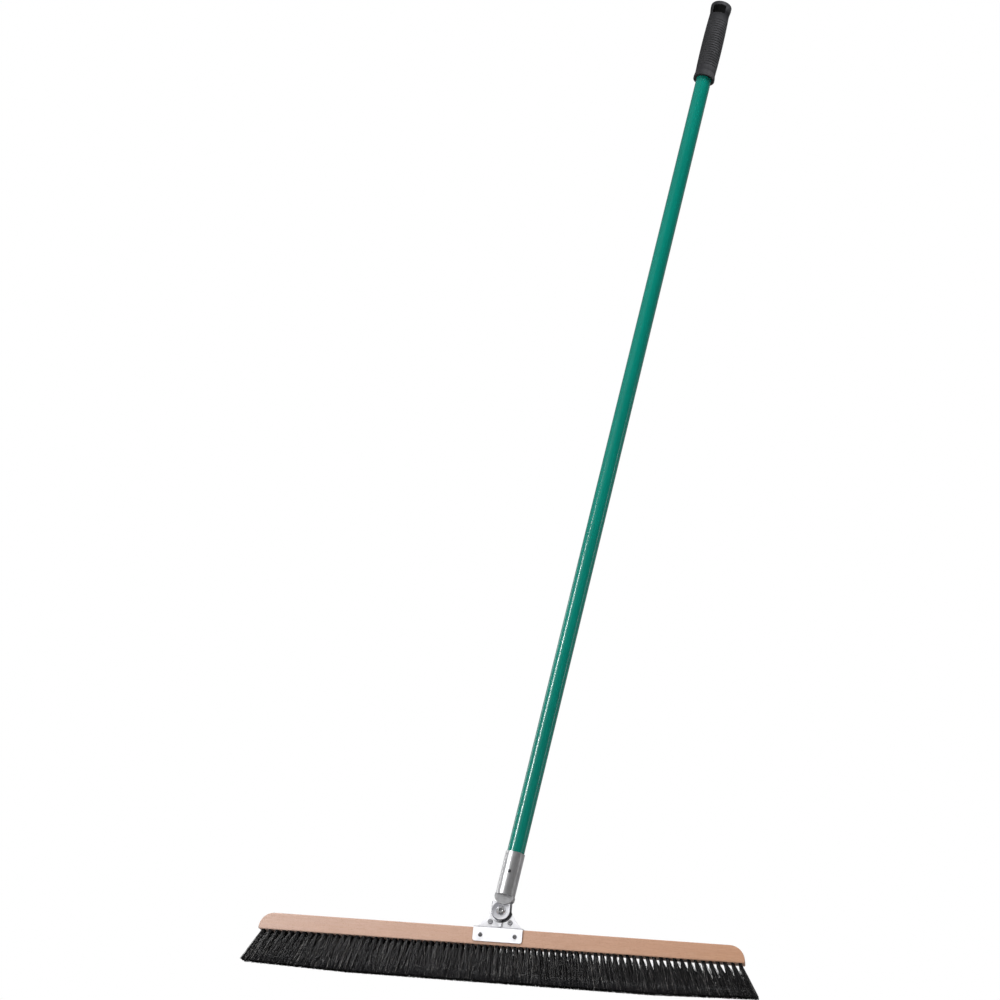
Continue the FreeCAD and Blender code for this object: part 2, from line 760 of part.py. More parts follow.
def make_cross_rivet():
    """The rivet that locks sleeve, tube and spigot together, domed at both ends."""
    rivet = new_body("cross_rivet")
    profile = new_sketch(rivet, "XY_Plane")
    dome = "(cross_rivet_head^2 / 4 + cross_rivet_head_height^2) / (2 * cross_rivet_head_height)"
    outline(
        profile,
        ("0", "-sleeve_outer / 2 - cross_rivet_head_height", dome, -1),
        ("cross_rivet_head / 2", "-sleeve_outer / 2"),
        ("cross_rivet_shank / 2", "-sleeve_outer / 2"),
        ("cross_rivet_shank / 2", "sleeve_outer / 2"),
        ("cross_rivet_head / 2", "sleeve_outer / 2", dome, -1),
        ("0", "sleeve_outer / 2 + cross_rivet_head_height"),
    )
    revolve(rivet, profile)
    lean = math.radians(size("handle_lean"))
    up = size("cross_rivet_at")
    rivet.Placement = Placement(
        Vector(up * math.sin(lean), 0, size("bolt_height") + up * math.cos(lean)),
        Rotation(Vector(0, 1, 0), size("handle_lean")),
    )
    rivet.setExpression("Placement.Base.x", bound("cross_rivet_at * sin(handle_lean * 1deg)"))
    rivet.setExpression("Placement.Base.z", bound("bolt_height + cross_rivet_at * cos(handle_lean * 1deg)"))
    rivet.setExpression("Placement.Rotation.Angle", bound("handle_lean"))
    finished(rivet)


def make_grip():
    """A moulded grip: a flared rim, a ribbed belly, a neck, and a head with a slot through it for hanging."""
    grip = new_body("handle_grip")
    profile = new_sketch(grip, "XZ_Plane")
    outline(
        profile,
        ("tube_outer / 2 + grip_bore_gap", "grip_start"),
        ("grip_rim_radius", "grip_start"),
        ("grip_rim_radius", "grip_start + grip_rim_height"),
        ("grip_foot_radius", "grip_start + grip_flare_height", "grip_belly_curve", -1),
        ("grip_neck_radius", "grip_neck_at"),
        ("grip_head_radius", "grip_head_at"),
        ("grip_head_radius", "grip_end - grip_edge_radius", "grip_edge_radius", -1),
        ("grip_head_radius - grip_edge_radius", "grip_end"),
        ("0", "grip_end"),
        ("0", "tube_end"),
        ("tube_outer / 2 + grip_bore_gap", "tube_end"),
    )
    revolve(grip, profile)
    doc.recompute()

    groove = new_sketch(grip, "XZ_Plane")
    outline(
        groove,
        ("rib_groove_floor", "rib_first"),
        ("rib_groove_mouth", "rib_first - rib_groove_width"),
        ("rib_groove_mouth", "rib_first + rib_groove_width"),
    )
    first = revolve(grip, groove, "Groove")
    doc.recompute()
    ribs = grip.newObject("PartDesign::LinearPattern", "grip_ribs")
    ribs.Originals = [first]
    ribs.Direction = (origin_feature(grip, "Z_Axis"), [""])
    ribs.setExpression("Length", bound("rib_pitch * (rib_count - 1)"))
    ribs.setExpression("Occurrences", bound("rib_count"))
    grip.Tip = ribs
    doc.recompute()

    slot = new_sketch(grip, "XZ_Plane")
    across = "slot_width / 2"
    low = "slot_centre - slot_height / 2"
    high = "slot_centre + slot_height / 2"
    outline(
        slot,
        (f"slot_corner - {across}", low),
        (f"{across} - slot_corner", low, "slot_corner", -1),
        (across, f"{low} + slot_corner"),
        (across, f"{high} - slot_corner", "slot_corner", -1),
        (f"{across} - slot_corner", high),
        (f"slot_corner - {across}", high, "slot_corner", -1),
        (f"-{across}", f"{high} - slot_corner"),
        (f"-{across}", f"{low} + slot_corner", "slot_corner", -1),
    )
    extrude(grip, slot, "Pocket", "4 * grip_rim_radius", both_ways=True)
    on_handle(grip)
    finished(grip)


make_block()
make_tuft_row("front_tufts", -1)
make_tuft_row("middle_tufts", 0)
make_tuft_row("rear_tufts", 1)
make_tuft_anchors()
make_bracket_half("bracket_front", turned=False)
make_bracket_half("bracket_back", turned=True)
make_head_fasteners()
make_pivot_bolt()
make_pivot_stack()
make_socket_foot()
make_handle_tube("ferrule_sleeve", "sleeve_inner", "sleeve_outer", "sleeve_start", "sleeve_end")
make_handle_tube("handle_tube", "tube_inner", "tube_outer", "tube_start", "tube_end")
make_cross_rivet()
make_grip()
doc.recompute()

for item in doc.Objects:
    if {"Invalid", "Error"} & set(item.State):
        raise RuntimeError(f"{item.Label} did not compute: {item.State}")
os.makedirs("parts", exist_ok=True)
for item in parts:
    if item.Shape.isNull() or not item.Shape.isValid():
        raise RuntimeError(f"{item.Label} has no valid shape")
    item.Shape.exportStep(f"parts/{item.Label}.step")
    print(f"{item.Label}: {len(item.Shape.Solids)} solid(s), {item.Shape.Volume:.0f} mm3")
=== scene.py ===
"""The looks of a push broom: finishes for its modelled parts, and real fibres in place of plain tufts."""

import math
import random

import bmesh
import bpy
from mathutils import Matrix, Vector


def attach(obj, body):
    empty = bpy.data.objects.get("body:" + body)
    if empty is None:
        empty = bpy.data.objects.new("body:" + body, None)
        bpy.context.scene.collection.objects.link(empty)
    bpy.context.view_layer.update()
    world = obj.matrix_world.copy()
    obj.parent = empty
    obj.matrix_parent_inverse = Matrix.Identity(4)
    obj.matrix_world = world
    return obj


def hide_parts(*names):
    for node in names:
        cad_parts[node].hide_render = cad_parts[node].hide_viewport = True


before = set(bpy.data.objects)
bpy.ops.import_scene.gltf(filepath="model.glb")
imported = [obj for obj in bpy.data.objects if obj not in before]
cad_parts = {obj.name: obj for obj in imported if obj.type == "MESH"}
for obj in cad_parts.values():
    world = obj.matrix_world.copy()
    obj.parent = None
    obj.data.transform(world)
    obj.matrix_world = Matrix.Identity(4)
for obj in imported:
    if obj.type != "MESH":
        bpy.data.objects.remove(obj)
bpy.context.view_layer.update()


# ---------------------------------------------------------------- Studio
# A pale floor under the broom, a tall soft box on its left, a strip on its right, another behind
# its left shoulder, and a wide soft lamp overhead. The walls look white but shed little light.

camera_place = Vector((0.38803, -2.49500, -0.38982))
camera_aim = Vector((-0.05540, 0.0, 0.64388))
camera_roll = math.radians(5.896)
camera_lens = 72.506

lamps = {
    # name: (place, aimed at, width, height, power, shows in reflections)
    "overhead_lamp": ((0.60, -1.10, 2.75), (0.15, 0.0, 1.0), 0.9, 0.9, 66.0, False),
    "left_soft_box": ((-0.98, -0.98, 0.78), (0.1, 0.0, 0.66), 0.10, 0.94, 16.5, True),
    "right_strip": ((1.75, -0.02, 0.70), (0.1, 0.0, 0.60), 0.13, 1.1, 1.8, True),
    "left_rear_strip": ((-1.30, 0.62, 0.72), (0.1, 0.0, 0.60), 0.20, 1.1, 3.0, True),
}
bright_wall = (-0.64, -0.75, 0.17)
floor_half = 7.0
floor_drop = 0.0002
floor_pale_within = 0.7
floor_white_beyond = 3.0


def add_node(tree, kind, inputs=None, **settings):
    """Adds a node to a material. An input given as another node's output is wired to it."""
    node = tree.nodes.new("ShaderNode" + kind)
    for name, value in settings.items():
        setattr(node, name, value)
    for name, value in (inputs or {}).items():
        if isinstance(value, bpy.types.NodeSocket):
            tree.links.new(value, node.inputs[name])
        else:
            node.inputs[name].default_value = value
    return node


def spread(tree, value, low, high, out_low, out_high, smooth=False):
    """Turns a value between low and high into one between out_low and out_high, and holds it there."""
    ends = {"Value": value, "From Min": low, "From Max": high, "To Min": out_low, "To Max": out_high}
    kind = "SMOOTHSTEP" if smooth else "LINEAR"
    return add_node(tree, "MapRange", ends, interpolation_type=kind).outputs["Result"]


def calculate(tree, operation, first, second=0.0, third=0.0):
    """One sum on numbers that vary over a surface."""
    return add_node(tree, "Math", {0: first, 1: second, 2: third}, operation=operation).outputs["Value"]


def hang_lamp(name, place, aim, width, height, power, reflected):
    """A soft box: a rectangle of light, never seen itself."""
    light = bpy.data.lights.new(name, "AREA")
    light.shape = "RECTANGLE"
    light.size = width
    light.size_y = height
    light.energy = power
    lamp = bpy.data.objects.new(name, light)
    lamp.location = place
    lamp.rotation_mode = "QUATERNION"
    lamp.rotation_quaternion = (Vector(aim) - Vector(place)).to_track_quat("-Z", "Y")
    lamp.visible_camera = False
    lamp.visible_glossy = reflected
    bpy.context.scene.collection.objects.link(lamp)


def set_camera():
    data = bpy.data.cameras.new("studio_camera")
    data.lens = camera_lens
    data.clip_start = 0.05
    camera = bpy.data.objects.new("studio_camera", data)
    camera.location = camera_place
    camera.rotation_mode = "QUATERNION"
    upright = (camera_aim - camera_place).to_track_quat("-Z", "Y")
    camera.rotation_quaternion = upright @ Matrix.Rotation(camera_roll, 3, "Z").to_quaternion()
    bpy.context.scene.collection.objects.link(camera)
    bpy.context.scene.camera = camera


def paint_walls():
    """White walls to look at. As light they are bright in front on the left, and dim all round."""
    world = bpy.data.worlds.new("studio_walls")
    world.use_nodes = True
    tree = world.node_tree
    toward = add_node(tree, "TexCoord").outputs["Generated"]
    along_bright = add_node(tree, "VectorMath", {0: toward, 1: bright_wall}, operation="DOT_PRODUCT")
    nearness = along_bright.outputs["Value"]
    bright = spread(tree, nearness, 0.74, 0.91, 0.0, 0.30, smooth=True)
    side, depth, height = add_node(tree, "SeparateXYZ", {"Vector": toward}).outputs
    left = spread(tree, calculate(tree, "MULTIPLY", side, -1.0), 0.1, 0.9, 0.05, 0.24, smooth=True)
    behind = spread(tree, depth, 0.0, 0.8, 0.0, 0.34, smooth=True)
    above = spread(tree, height, 0.40, 0.95, 0.0, 0.35, smooth=True)
    dim = calculate(tree, "MAXIMUM", calculate(tree, "MAXIMUM", left, behind), above)
    glow = calculate(tree, "MAXIMUM", bright, dim)
    looked_at = add_node(tree, "LightPath").outputs["Is Camera Ray"]
    shown = calculate(tree, "MAXIMUM", glow, looked_at)
    tree.links.new(shown, tree.nodes["Background"].inputs["Strength"])
    tree.nodes["Background"].inputs["Color"].default_value = (1.0, 1.0, 1.0, 1.0)
    bpy.context.scene.world = world


def lay_floor():
    """A matt painted floor that fades into the white of the walls. From below it can't be seen."""
    mesh = bpy.data.meshes.new("studio_floor")
    corners = [(-1, -1), (1, -1), (1, 1), (-1, 1)]
    points = [(x * floor_half, y * floor_half, -floor_drop) for x, y in corners]
    mesh.from_pydata(points, [], [(0, 1, 2, 3)])
    material = bpy.data.materials.new("floor_paint")
    material.use_nodes = True
    tree = material.node_tree
    paint = tree.nodes["Principled BSDF"]
    place = add_node(tree, "TexCoord").outputs["Object"]
    mottle = add_node(tree, "TexNoise", {"Vector": place, "Scale": 3.0, "Detail": 4.0}).outputs["Fac"]
    pale = add_node(tree, "ValToRGB", {"Fac": mottle})
    pale.color_ramp.elements[0].color = (0.80, 0.80, 0.80, 1.0)
    pale.color_ramp.elements[1].color = (0.86, 0.86, 0.86, 1.0)
    tree.links.new(pale.outputs["Color"], paint.inputs["Base Color"])
    paint.inputs["Roughness"].default_value = 0.7
    clear = add_node(tree, "BsdfTransparent").outputs["BSDF"]
    from_middle = add_node(tree, "VectorMath", {0: place}, operation="LENGTH").outputs["Value"]
    far = spread(tree, from_middle, floor_pale_within, floor_white_beyond, 0.0, 1.0, smooth=True)
    looked_at = add_node(tree, "LightPath").outputs["Is Camera Ray"]
    swept = calculate(tree, "MULTIPLY", far, looked_at)
    white = add_node(tree, "Emission").outputs["Emission"]
    painted = paint.outputs["BSDF"]
    sweep = add_node(tree, "MixShader", {0: swept, 1: painted, 2: white}).outputs["Shader"]
    below = add_node(tree, "NewGeometry").outputs["Backfacing"]
    surface = add_node(tree, "MixShader", {0: below, 1: sweep, 2: clear}).outputs["Shader"]
    tree.links.new(surface, tree.nodes["Material Output"].inputs["Surface"])
    mesh.materials.append(material)
    floor = bpy.data.objects.new("studio_floor", mesh)
    bpy.context.scene.collection.objects.link(floor)
    floor.visible_glossy = False


set_camera()
paint_walls()
lay_floor()
for lamp_name, facts in lamps.items():
    hang_lamp(lamp_name, *facts)
bpy.context.scene.view_settings.view_transform = "Standard"


# ---------------------------------------------------------------- Wooden block
# One bar of beech, planed, its top corners rounded and its edges eased, then given a thin satin
# lacquer. Growth rings run along it, with short dark pores and rays, and show as arcs on the ends.

# The wood is pinker at one end and warmer at the other, with the other colours laid thinly over it.
pale_end_wood = (0.455, 0.318, 0.264)
warm_end_wood = (0.465, 0.252, 0.152)
strand_colour = (0.74, 0.55, 0.44, 1.0)
rubbed_colour = (0.70, 0.50, 0.38, 1.0)
streak_colour = (0.40, 0.21, 0.13, 1.0)
ring_colour = (0.36, 0.20, 0.12, 1.0)
end_grain_colour = (0.33, 0.17, 0.10, 1.0)
ray_colour = (0.30, 0.15, 0.08, 1.0)
pore_colour = (0.24, 0.12, 0.06, 1.0)
ring_spacing = 0.0034
pith_place = (0.0, 0.085, -0.045)
pith_tilt = (0.0, math.radians(1.1), math.radians(1.6))
half_block = 0.305


def new_material(name):
    """A material with its node tree and its main shader."""
    material = bpy.data.materials.new(name)
    material.use_nodes = True
    return material, material.node_tree, material.node_tree.nodes["Principled BSDF"]


def drive(tree, shader, **wired):
    """Wires values that vary over the surface to the main shader, by its inputs' names."""
    for name, value in wired.items():
        tree.links.new(value, shader.inputs[name.replace("_", " ").title()])


def ramp(tree, value, *stops):
    """A colour for each value, from stops of (value, colour)."""
    node = add_node(tree, "ValToRGB", {"Fac": value})
    elements = node.color_ramp.elements
    while len(elements) < len(stops):
        elements.new(1.0)
    for element, (at, colour) in zip(elements, stops):
        element.position = at
        element.color = (*colour, 1.0)
    return node.outputs["Color"]


def noise(tree, place, per_metre, detail=3.0, roughness=0.55):
    """Cloudy texture with its own number of lumps per metre along each axis."""
    stretched = add_node(tree, "Mapping", {"Vector": place, "Scale": per_metre}).outputs["Vector"]
    facts = {"Vector": stretched, "Scale": 1.0, "Detail": detail, "Roughness": roughness}
    return add_node(tree, "TexNoise", facts).outputs["Fac"]


def blend_colours(tree, share, first, second, how="MIX"):
    """Lays the second colour over the first by share."""
    inputs = {"Factor": share, 6: first, 7: second}
    return add_node(tree, "Mix", inputs, data_type="RGBA", blend_type=how).outputs[2]


def worn_edges(tree, radius, low=0.90, high=0.995):
    """1 along the sharp edges and 0 on the flats, and the normal of the eased edge."""
    eased = add_node(tree, "Bevel", {"Radius": radius}, samples=4).outputs["Normal"]
    flat = add_node(tree, "NewGeometry").outputs["Normal"]
    turn = add_node(tree, "VectorMath", {0: eased, 1: flat}, operation="DOT_PRODUCT").outputs["Value"]
    return spread(tree, turn, low, high, 1.0, 0.0), eased


def bump(tree, height, depth, strength=1.0, over=None):
    """A normal from a height map, depth in metres."""
    inputs = {"Height": height, "Distance": depth, "Strength": strength}
    if over is not None:
        inputs["Normal"] = over
    return add_node(tree, "Bump", inputs).outputs["Normal"]


def give_finish(material, *nodes):
    """Puts a material on the modelled parts, in every slot they have."""
    for node in nodes:
        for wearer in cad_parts[node].material_slots:
            wearer.material = material


def beech():
    material, tree, shader = new_material("beech_wood")
    place = add_node(tree, "TexCoord").outputs["Object"]
    side = add_node(tree, "SeparateXYZ", {"Vector": place}).outputs["X"]
    turned = {"Vector": place, "Location": pith_place, "Rotation": pith_tilt}
    about_pith = add_node(tree, "Mapping", turned, vector_type="TEXTURE").outputs["Vector"]
    turns_per_metre = 2 * math.pi / 20 / ring_spacing
    waves = {
        "Vector": about_pith,
        "Scale": turns_per_metre,
        "Distortion": 2.4,
        "Detail": 2.0,
        "Detail Scale": 0.12,
    }
    ring_node = add_node(tree, "TexWave", waves, wave_type="RINGS", rings_direction="X")
    rings = ring_node.outputs["Fac"]
    streaks = noise(tree, place, (7, 160, 160), detail=3.0)
    strands = noise(tree, place, (60, 1500, 1500), detail=2.0)
    pores = noise(tree, place, (420, 3600, 3600), detail=1.0)
    rays = noise(tree, place, (700, 700, 260), detail=1.0)
    across = spread(tree, side, -half_block, half_block, 0.0, 1.0)
    body = ramp(tree, across, (0.0, pale_end_wood), (1.0, warm_end_wood))
    ringed = blend_colours(tree, spread(tree, rings, 0.2, 1.0, 0.0, 0.10), body, ring_colour)
    streaked = blend_colours(tree, spread(tree, streaks, 0.42, 0.72, 0.0, 0.20), ringed, streak_colour)
    stranded = blend_colours(tree, spread(tree, strands, 0.3, 0.62, 0.16, 0.0), streaked, strand_colour)
    pored = blend_colours(tree, spread(tree, pores, 0.60, 0.68, 0.0, 0.45), stranded, pore_colour)
    flecked = blend_colours(tree, spread(tree, rays, 0.64, 0.70, 0.0, 0.18), pored, ray_colour)
    facing = add_node(tree, "SeparateXYZ", {"Vector": add_node(tree, "NewGeometry").outputs["Normal"]})
    cut_across = spread(tree, calculate(tree, "ABSOLUTE", facing.outputs["X"]), 0.55, 0.95, 0.0, 0.38)
    ended = blend_colours(tree, cut_across, flecked, end_grain_colour)
    edge, eased = worn_edges(tree, 0.0012)
    rubbed = blend_colours(tree, calculate(tree, "MULTIPLY", edge, 0.35), ended, rubbed_colour)
    lacquer = spread(tree, noise(tree, place, (18, 60, 60)), 0.3, 0.7, 0.40, 0.56)
    relief = calculate(tree, "MULTIPLY_ADD", pores, -0.6, strands)
    drive(
        tree,
        shader,
        base_color=rubbed,
        roughness=lacquer,
        normal=bump(tree, relief, 0.00006, 0.5, over=eased),
    )
    shader.inputs["Specular IOR Level"].default_value = 0.38
    return material


give_finish(beech(), "wood_block")


# ---------------------------------------------------------------- Bristles
# Three rows of drilled tufts. Each tuft is a bundle of nearly straight black plastic fibres, held by an
# anchor in its hole, tight at the block and open at the foot, where they are trimmed almost level.

tufts_in_row = 75
fibres_in_tuft = 70
bristle_length = 0.0433
fan_half_width = 0.299
fan_angle = math.radians(26)
row_offset = 0.008
splay = math.tan(math.radians(1.5))
root_radius = 0.00185
root_depth = 0.0015
opening = 1.1  # over 1, a tuft opens more near its foot than near the block
tip_swell = 1.4  # how many times wider a tuft is at its foot, before its tips spread at random
fibre_bow = 0.00035
foot_spread = 0.0044
foot_depth = 0.0016
fibre_radius = 0.00029
trim_error = 0.00015
wild_share = 0.08
wild_reach = 2.2
trim_flat_half = 0.190
trim_end_rise = 0.004
trim_end_half = 0.3203
widest_tip = 0.3235
fold_back = 1.5  # how far a tip past the widest place is brought back, in times its excess
fibre_sides = 3
fibre_steps = (0.0, 0.14, 0.40, 0.72, 1.0)


def trim_height(x):
    """The foot of the bristles is level, and rises a little towards each end."""
    past = max(0.0, abs(x) - trim_flat_half) / (trim_end_half - trim_flat_half)
    return trim_end_rise * min(past, 1.0)


def disc_point(chance, radius):
    """A random place within a circle, spread evenly over it."""
    turn = chance.uniform(0, 2 * math.pi)
    reach = radius * math.sqrt(chance.random())
    return reach * math.cos(turn), reach * math.sin(turn)


def fibre_path(chance, root, down):
    """The points down one fibre: out of the hole, along the tuft, and spreading to its trimmed tip."""
    at_root_x, at_root_y = disc_point(chance, root_radius)
    reach = wild_reach if chance.random() < wild_share else 1.0
    tip_x = at_root_x * tip_swell + chance.gauss(0, foot_spread) * reach
    tip_y = at_root_y * tip_swell + chance.gauss(0, foot_depth)
    bow_x, bow_y = chance.gauss(0, fibre_bow), chance.gauss(0, fibre_bow)
    foot = root + down * (bristle_length / -down.z)
    past_end = abs(foot.x + tip_x) - widest_tip
    if past_end > 0:
        tip_x -= math.copysign(fold_back * past_end, foot.x)
    cut = trim_height(foot.x) + abs(chance.gauss(0, trim_error))
    start = root - down * root_depth
    points = []
    for share in fibre_steps:
        opened = share**opening
        swing = math.sin(math.pi * share)
        middle = start.lerp(foot, share)
        x = middle.x + at_root_x + (tip_x - at_root_x) * opened + bow_x * swing
        y = middle.y + at_root_y + (tip_y - at_root_y) * opened + bow_y * swing
        z = start.z + (cut - start.z) * share
        points.append(Vector((x, y, z)))
    return points


def add_fibre(points, thickness, verts, faces):
    """A thin rod of a few flat sides round the points, closed at its foot."""
    first = len(verts)
    turn = 2 * math.pi / fibre_sides
    for point in points:
        for side in range(fibre_sides):
            verts.append(point + Vector((math.cos(side * turn), math.sin(side * turn), 0)) * thickness)
    for step in range(len(points) - 1):
        for side in range(fibre_sides):
            above = first + step * fibre_sides + side
            beside = first + step * fibre_sides + (side + 1) % fibre_sides
            faces.append((above, above + fibre_sides, beside + fibre_sides, beside))
    last = first + (len(points) - 1) * fibre_sides
    faces.append(tuple(last + side for side in range(fibre_sides)))
    faces.append(tuple(first + side for side in reversed(range(fibre_sides))))


def bristle_plastic():
    """Black plastic with a waxy shine. Each fibre has its own shade, and dust dulls it near the foot."""
    material, tree, shader = new_material("black_bristle_fibre")
    shade = add_node(tree, "Attribute", attribute_name="fibre_shade").outputs["Fac"]
    place = add_node(tree, "TexCoord").outputs["Object"]
    height = add_node(tree, "SeparateXYZ", {"Vector": place}).outputs["Z"]
    mottle = noise(tree, place, (900, 900, 160), detail=2.0)
    tone = calculate(tree, "MULTIPLY", shade, spread(tree, mottle, 0.3, 0.7, 0.7, 1.2))
    fibre = ramp(
        tree,
        tone,
        (0.0, (0.007, 0.007, 0.008)),
        (0.72, (0.018, 0.018, 0.020)),
        (0.90, (0.055, 0.053, 0.052)),
        (1.0, (0.200, 0.192, 0.185)),
    )
    dust = spread(tree, height, 0.004, 0.016, 0.0, 0.04)
    drive(
        tree,
        shader,
        base_color=blend_colours(tree, dust, fibre, (0.10, 0.09, 0.08, 1.0)),
        roughness=spread(tree, mottle, 0.3, 0.7, 0.34, 0.52),
    )
    shader.inputs["Specular IOR Level"].default_value = 0.45
    return material


def tuft_row(name, side, seed):
    """All the fibres of one row; side is -1 in front, 0 in the middle and +1 behind."""
    chance = random.Random(seed)
    verts, faces, shades = [], [], []
    fan_radius = fan_half_width / math.tan(fan_angle)
    for index in range(tufts_in_row):
        lean = fan_angle * (2 * index / (tufts_in_row - 1) - 1)
        root = Vector((fan_radius * math.tan(lean), side * row_offset, bristle_length))
        down = Vector((math.tan(lean), side * splay, -1)).normalized()
        for _ in range(fibres_in_tuft):
            before = len(verts)
            path = fibre_path(chance, root, down)
            add_fibre(path, fibre_radius * chance.uniform(0.8, 1.15), verts, faces)
            shades += [chance.random()] * (len(verts) - before)
    mesh = bpy.data.meshes.new(name)
    mesh.from_pydata(verts, [], faces)
    mesh.shade_smooth()
    mesh.attributes.new("fibre_shade", "FLOAT", "POINT").data.foreach_set("value", shades)
    row = bpy.data.objects.new(name, mesh)
    bpy.context.scene.collection.objects.link(row)
    return row


fibre_plastic = bristle_plastic()
for side, where in ((-1, "front"), (0, "middle"), (1, "rear")):
    row = tuft_row(where + "_bristles", side, seed=20 + 9 * side)
    row.data.materials.append(fibre_plastic)
    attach(row, "broom_head")
    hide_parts(where + "_tufts")


# ---------------------------------------------------------------- Bracket
# Two halves stamped from steel sheet and zinc plated: a plate screwed to each face of the block, a
# ledge over it, and a neck that ends in the eye. The zinc is a satin blue-white. Painted shade darkens
# its bends and sides, greys the face of the eye, and lies in a crescent below and right of the eye.

zinc_colour = (0.93, 0.93, 0.96)
bolt_height = 0.0877
eye_face_radius = 0.0112
eye_bend_radius = 0.0134
eye_bend_width = 0.0010
eye_face_blend = 0.0008
eye_bend_blend = 0.0007
eye_shade_grey = (0.34, 0.34, 0.38)
bend_shade_colour = (0.10, 0.10, 0.11)
bright_edge = (0.92, 0.92, 0.93)
scratch_fineness = 2.3


def metal(
    name,
    colour,
    shine,
    grain_per_metre,
    place_of,
    marks=0.25,
    edge_radius=0.0005,
    relief=0.00002,
    cloud_per_metre=(90, 90, 90),
    dull=0.72,
    metallic=1.0,
    side_shade_colour=None,
):
    """Bare or plated metal: clouded colour, a grain that roughens it, dulling, and rubbed bright edges.

    With a side shade colour, only flats that face front or back keep the satin: the rest, the bends and
    sides, is painted dark with that colour and made fully metallic, as painted shade.
    """
    material, tree, shader = new_material(name)
    place = place_of(tree)
    clouds = noise(tree, place, cloud_per_metre, detail=4.0)
    grain = noise(tree, place, grain_per_metre, detail=3.0, roughness=0.6)
    across_grain = tuple(scratch_fineness * count for count in reversed(grain_per_metre))
    scratches = noise(tree, place, across_grain, detail=1.0)
    scratched = spread(tree, scratches, 0.66, 0.72, 0.0, marks)
    edge, eased = worn_edges(tree, edge_radius)
    dulled = tuple(dull * c for c in colour)
    clouded = ramp(tree, clouds, (0.30, dulled), (0.62, colour))
    marked = blend_colours(tree, scratched, clouded, (*(0.5 * c for c in colour), 1.0))
    rubbed = blend_colours(tree, calculate(tree, "MULTIPLY", edge, 0.5), marked, (*bright_edge, 1.0))
    low, high = shine
    uneven = calculate(tree, "ADD", grain, calculate(tree, "MULTIPLY", clouds, 0.6))
    drive(
        tree,
        shader,
        base_color=rubbed,
        roughness=spread(tree, uneven, 0.55, 1.05, high, low),
        normal=bump(tree, grain, relief, 0.6, over=eased),
    )
    shader.inputs["Metallic"].default_value = metallic
    # Painted shade: where the surface doesn't face front or back, it is darkened and made metallic.
    if side_shade_colour:
        normal = add_node(tree, "NewGeometry").outputs["Normal"]
        facing = calculate(tree, "ABSOLUTE", add_node(tree, "SeparateXYZ", {"Vector": normal}).outputs["Y"])
        painted_shade_share = spread(tree, facing, 0.60, 0.97, 1.0, 0.0)
        drive(
            tree,
            shader,
            base_color=blend_colours(tree, painted_shade_share, rubbed, (*side_shade_colour, 1.0)),
            metallic=spread(tree, painted_shade_share, 0.0, 1.0, metallic, 1.0),
        )
    return material


def on_head(tree):
    """Places on the head, in metres."""
    return add_node(tree, "TexCoord").outputs["Object"]


def stamped_zinc():
    """Satin zinc with painted shade: dark bends and sides, a grey face on the eye, darkest toward its top
    left, and a dark crescent below and right of the eye.
    """
    material = metal(
        "bright_zinc_sheet",
        zinc_colour,
        (0.30, 0.44),
        (40, 700, 900),
        on_head,
        marks=0.06,
        dull=0.94,
        metallic=0.12,
        # Painted shade: the bends and sides of the sheet are painted dark.
        side_shade_colour=(0.20, 0.20, 0.22),
    )
    tree = material.node_tree
    shader = tree.nodes["Principled BSDF"]
    x, _, z = add_node(tree, "SeparateXYZ", {"Vector": on_head(tree)}).outputs
    above_bolt = calculate(tree, "SUBTRACT", z, bolt_height)
    above_squared = calculate(tree, "MULTIPLY", above_bolt, above_bolt)
    from_bolt = calculate(tree, "SQRT", calculate(tree, "MULTIPLY_ADD", x, x, above_squared))
    # Painted shade: the face of the eye is greyed and made metallic, most toward its top left.
    eye_face = spread(tree, from_bolt, eye_face_radius, eye_face_radius + eye_face_blend, 1.0, 0.0)
    toward_top_left = calculate(tree, "SUBTRACT", above_bolt, x)
    eye_shade_share = spread(tree, toward_top_left, -0.008, 0.012, 0.25, 0.85)
    eye_shade = calculate(tree, "MULTIPLY", eye_face, eye_shade_share)
    # Painted shade: a dark metallic crescent round the eye, on its lower right side.
    from_bend = calculate(tree, "ABSOLUTE", calculate(tree, "SUBTRACT", from_bolt, eye_bend_radius))
    bend = spread(tree, from_bend, eye_bend_width, eye_bend_width + eye_bend_blend, 1.0, 0.0)
    bend_shade_share = spread(tree, toward_top_left, -0.014, -0.002, 0.9, 0.0)
    shaded = calculate(tree, "MULTIPLY", bend, bend_shade_share)
    sheet = shader.inputs["Base Color"].links[0].from_socket
    side_shade_metallic = shader.inputs["Metallic"].links[0].from_socket
    eye_shaded_sheet = blend_colours(tree, eye_shade, sheet, (*eye_shade_grey, 1.0))
    painted_shade_share = calculate(tree, "MAXIMUM", calculate(tree, "MULTIPLY", eye_shade, 0.8), shaded)
    drive(
        tree,
        shader,
        base_color=blend_colours(tree, shaded, eye_shaded_sheet, (*bend_shade_colour, 1.0)),
        metallic=calculate(tree, "MAXIMUM", side_shade_metallic, painted_shade_share),
    )
    return material


give_finish(stamped_zinc(), "bracket_front", "bracket_back")


# ---------------------------------------------------------------- Fasteners of the head
# Dimpled rivets that hold the two neck sheets together, slotted screws through the plates into
# the wood, and the small wire anchors inside the tuft holes. All are plated, and duller than the sheet.
# The sides of the rivets and screws are painted dark as shade.

